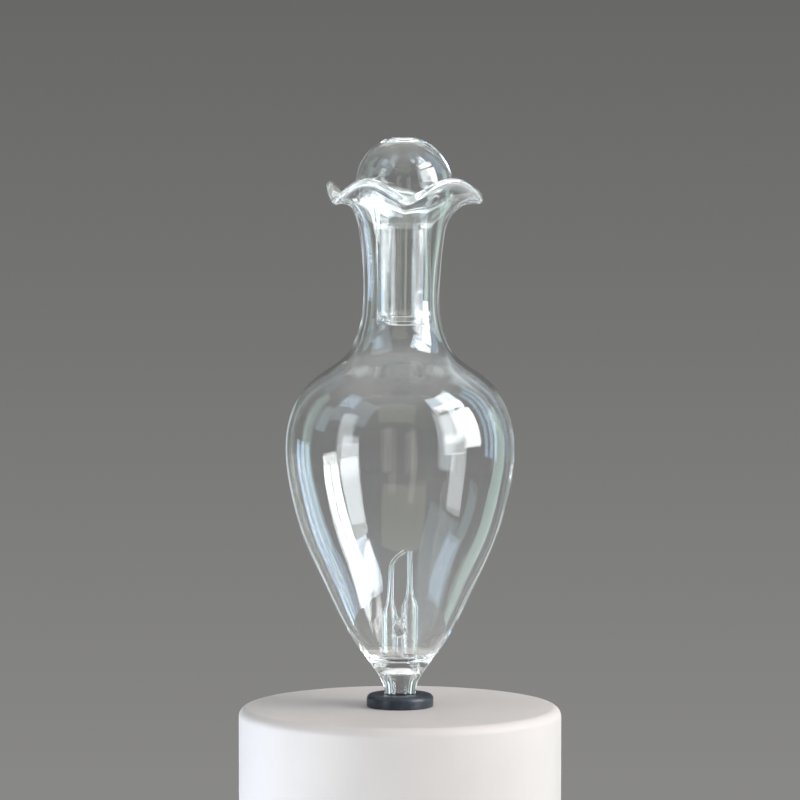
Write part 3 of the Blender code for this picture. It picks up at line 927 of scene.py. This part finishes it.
PANE_BAR = 2.5  # width of the bars between panes, in degrees

# Backdrop, as (place from straight down, 0, to straight up, 1, on the vertical axis; radiance)
BACKDROP = (
    (0.0, 0.30),
    (0.42, 0.25),
    (0.475, 0.18),
    (0.52, 0.135),
    (0.62, 0.12),
    (0.75, 0.22),
    (0.86, 0.50),
    (0.96, 1.10),
)
BACKDROP_TINT = (1.0, 0.992, 0.978)


def add_panel(name, azimuth, elevation, width, height, across, up, radiance, colour):
    """Soft rectangles of light that face the object, side by side like the panes of a window."""
    a, e = math.radians(azimuth), math.radians(elevation)
    back = Vector((math.sin(a) * math.cos(e), -math.cos(a) * math.cos(e), math.sin(e)))
    turn = back.to_track_quat("Z", "Y")
    full_x = 2 * PANEL_DISTANCE * math.tan(math.radians(width / 2))
    full_y = 2 * PANEL_DISTANCE * math.tan(math.radians(height / 2))
    bar = PANEL_DISTANCE * math.radians(PANE_BAR)
    size_x, size_y = (full_x - bar * (across - 1)) / across, (full_y - bar * (up - 1)) / up
    light = bpy.data.lights.new(name, "AREA")
    light.shape = "RECTANGLE"
    light.size, light.size_y = size_x, size_y
    light.energy = radiance * math.pi * size_x * size_y
    light.color = colour
    for i in range(across):
        for j in range(up):
            x, y = (i - (across - 1) / 2) * (size_x + bar), (j - (up - 1) / 2) * (size_y + bar)
            panel = bpy.data.objects.new(f"{name}_{i}_{j}", light)
            bpy.context.scene.collection.objects.link(panel)
            panel.location = AIM + back * PANEL_DISTANCE + turn @ Vector((x, y, 0))
            panel.rotation_euler = turn.to_euler()
            panel.visible_camera = False


def add_pedestal():
    """A pale round column with a rounded edge, and a socket in its top."""
    steps = 12
    profile = [(0, -SOCKET_DEPTH), (SOCKET_RADIUS, -SOCKET_DEPTH), (SOCKET_RADIUS, 0)]
    for k in range(steps + 1):
        turn = math.pi / 2 * k / steps
        inset, drop = PEDESTAL_EDGE * (1 - math.sin(turn)), PEDESTAL_EDGE * (1 - math.cos(turn))
        profile.append((PEDESTAL_RADIUS - inset, -drop))
    profile += [(PEDESTAL_RADIUS, PEDESTAL_FOOT_Z), (0, PEDESTAL_FOOT_Z)]
    pedestal = add("pedestal", turned("pedestal", profile, 160, closed=False))
    pedestal.data.materials.append(pedestal_material())
    pedestal.data.shade_smooth()
    pedestal.data.set_sharp_from_angle(angle=SHARP_ANGLE)


def add_floor_plane():
    """The floor at the pedestal's foot, a little wider than the fade that hides its edge."""
    radius = FLOOR_END + FLOOR_SPARE
    mesh = bpy.data.meshes.new("studio_floor")
    corners = [(-radius, -radius, 0), (radius, -radius, 0), (radius, radius, 0), (-radius, radius, 0)]
    mesh.from_pydata(corners, [], [(0, 1, 2, 3)])
    floor = add("studio_floor", mesh)
    floor.location.z = PEDESTAL_FOOT_Z
    mesh.materials.append(floor_material())


def add_world():
    """A plain grey backdrop, paler towards the floor and overhead."""
    world = bpy.data.worlds.new("backdrop")
    bpy.context.scene.world = world
    world.use_nodes = True
    tree = world.node_tree
    place = tree.nodes.new("ShaderNodeTexCoord")
    split = tree.nodes.new("ShaderNodeSeparateXYZ")
    tree.links.new(place.outputs["Generated"], split.inputs["Vector"])
    spread = tree.nodes.new("ShaderNodeMapRange")
    spread.inputs["From Min"].default_value = -1
    spread.inputs["From Max"].default_value = 1
    tree.links.new(split.outputs["Z"], spread.inputs["Value"])
    red, green, blue = BACKDROP_TINT
    stops = [(at, (value * red, value * green, value * blue)) for at, value in BACKDROP]
    colour = ramp_node(tree, spread.outputs["Result"], stops)
    tree.links.new(colour.outputs["Color"], tree.nodes["Background"].inputs["Color"])


def add_camera():
    """The photo's view: level with the object, and a little from above."""
    data = bpy.data.cameras.new("camera")
    data.sensor_width = 36
    data.lens = data.sensor_width * CAMERA_DISTANCE / VIEW_WIDTH
    camera = bpy.data.objects.new("camera", data)
    bpy.context.scene.collection.objects.link(camera)
    tilt = math.radians(CAMERA_ELEVATION)
    back = Vector((0, -math.cos(tilt), math.sin(tilt)))
    camera.location = AIM + back * CAMERA_DISTANCE
    camera.rotation_euler = back.to_track_quat("Z", "Y").to_euler()
    bpy.context.scene.camera = camera


def set_light_paths():
    """Plain colours, and enough bounces for light that runs along inside the walls of the glass."""
    scene = bpy.context.scene
    scene.view_settings.view_transform = "Standard"
    bounces = 96
    scene.cycles.max_bounces = bounces
    scene.cycles.transmission_bounces = bounces
    scene.cycles.glossy_bounces = bounces
    scene.cycles.transparent_max_bounces = 16


add_blown_body()
add_nebuliser()
add_silencer()
add_gasket()
add_pedestal()
add_floor_plane()
for panel_name, values in PANELS.items():
    add_panel(panel_name, *values)
add_world()
add_camera()
set_light_paths()
